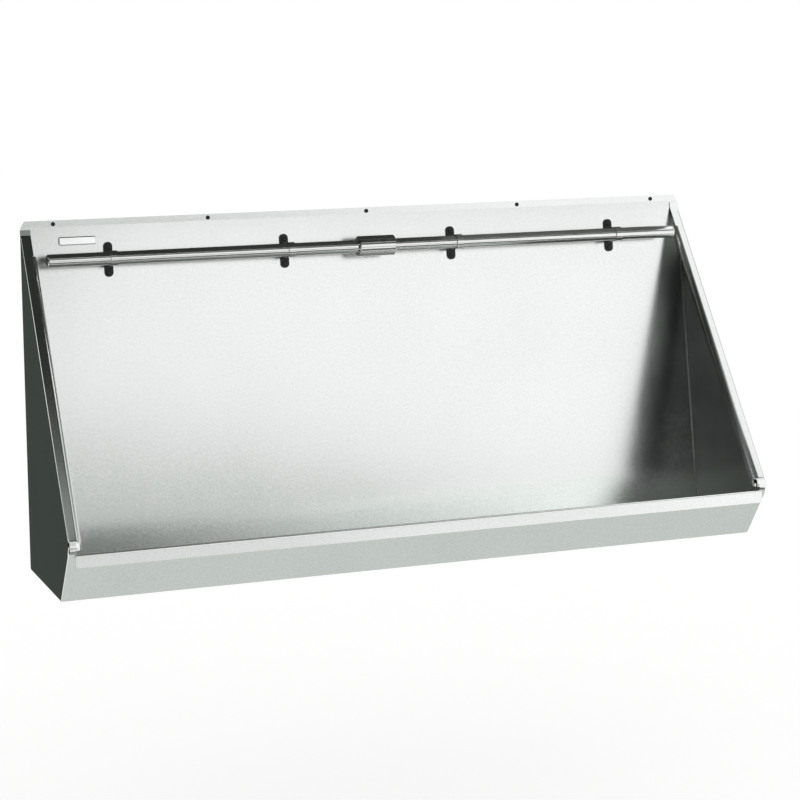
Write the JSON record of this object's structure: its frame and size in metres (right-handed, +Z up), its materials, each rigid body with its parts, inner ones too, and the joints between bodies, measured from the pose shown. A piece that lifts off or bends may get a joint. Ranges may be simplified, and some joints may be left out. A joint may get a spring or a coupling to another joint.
{
  "type": "wall-hung trough urinal",
  "caption": "Wall-hung steel trough urinal: leaning back panel, slanted end panels, front lip and apron, exposed flush pipe on clips with an inlet tee, and a lift-out waste grating.",
  "frame": {"origin": "centre of the top row of wall fixings, on the wall plane", "axes": "+X along the wall to the right as seen from the front, +Y into the wall, +Z up"},
  "size_m": [1.2, 0.325, 0.5995],
  "materials": {
    "satin_steel": "satin",
    "polished_steel": "polished",
    "black_nylon": "moulded",
    "black_rubber": "matte",
    "plain_brass": "machined",
    "dark_screws": "black coated",
    "plain_fasteners": "plain",
    "chromed_brass": "bright plated",
    "damping_sheet": "matte",
    "blank_plate": "satin"
  },
  "bodies": {
    "trough": {"back_panel": "satin_steel", "trough_channel": "satin_steel", "front_lip": "satin_steel", "front_apron": "satin_steel", "end_panel_left": "satin_steel", "end_panel_right": "satin_steel", "rear_stay_left": "satin_steel", "rear_stay_right": "satin_steel", "earth_tag": "satin_steel", "inlet_tee": "polished_steel", "fixing_bushes": "black_nylon", "tee_o_rings": "black_rubber", "inlet_gasket": "black_rubber", "waste_gasket_upper": "black_rubber", "waste_gasket_lower": "black_rubber", "inlet_backnut": "plain_brass", "waste_backnut": "plain_brass", "clip_screws": "dark_screws", "clip_nuts": "plain_fasteners", "earth_screw": "plain_fasteners", "earth_nut": "plain_fasteners", "waste_body": "chromed_brass", "sound_pads": "damping_sheet", "blank_plate": "blank_plate", "clip_base_1": "black_nylon", "clip_strap_1": "polished_steel", "clip_base_2": "black_nylon", "clip_strap_2": "polished_steel", "clip_base_3": "black_nylon", "clip_strap_3": "polished_steel", "clip_base_4": "black_nylon", "clip_strap_4": "polished_steel"},
    "sparge_left": {"sparge_pipe_left": "polished_steel", "pipe_cap_left": "polished_steel"},
    "sparge_right": {"sparge_pipe_right": "polished_steel", "pipe_cap_right": "polished_steel"},
    "grating": {"waste_grating": "chromed_brass"}
  },
  "joints": [
    {"name": "sparge_left_turn", "type": "hinge", "parent": "trough", "child": "sparge_left", "pos_m": [-0.283, -0.04702, -0.05738], "axis": [1, 0, 0], "range_deg": [-25, 25]},
    {"name": "sparge_right_turn", "type": "hinge", "parent": "trough", "child": "sparge_right", "pos_m": [0.283, -0.04702, -0.05738], "axis": [1, 0, 0], "range_deg": [-25, 25]},
    {"name": "grating_lift", "type": "slide", "parent": "trough", "child": "grating", "axis": [0, 0, 1], "range_m": [0, 0.08]}
  ]
}
